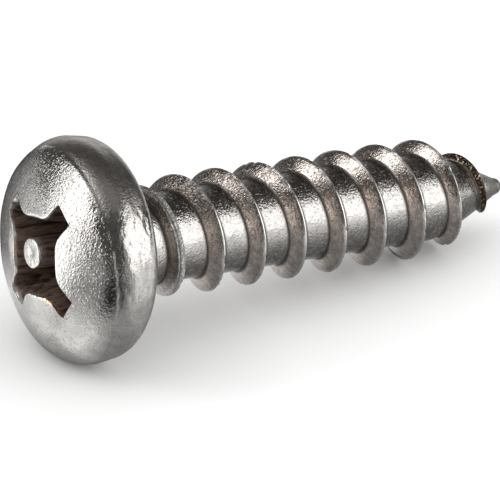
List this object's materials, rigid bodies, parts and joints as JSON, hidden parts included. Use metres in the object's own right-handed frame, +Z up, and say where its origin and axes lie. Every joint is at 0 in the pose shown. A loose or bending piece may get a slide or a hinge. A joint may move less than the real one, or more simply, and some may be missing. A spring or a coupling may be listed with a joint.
{
  "type": "sheet metal screw",
  "caption": "Pan head tapping screw with a cross recess round a centre pin and a coarse thread that runs out on a gimlet point; cuts its own thread in sheet metal.",
  "frame": {"origin": "middle of the lying screw's box, at the height of the ground that carries it", "axes": "+X level along the screw from its head towards its point, +Y across it, +Z up; the screw's own axis dips 7.7 degrees below +X"},
  "size_m": [0.0294, 0.0118, 0.0118],
  "materials": {
    "steel": "plain stainless steel as rolled and headed: bright, fine-grained, slightly mottled"
  },
  "bodies": {
    "root": {"screw": "steel"}
  },
  "joints": []
}
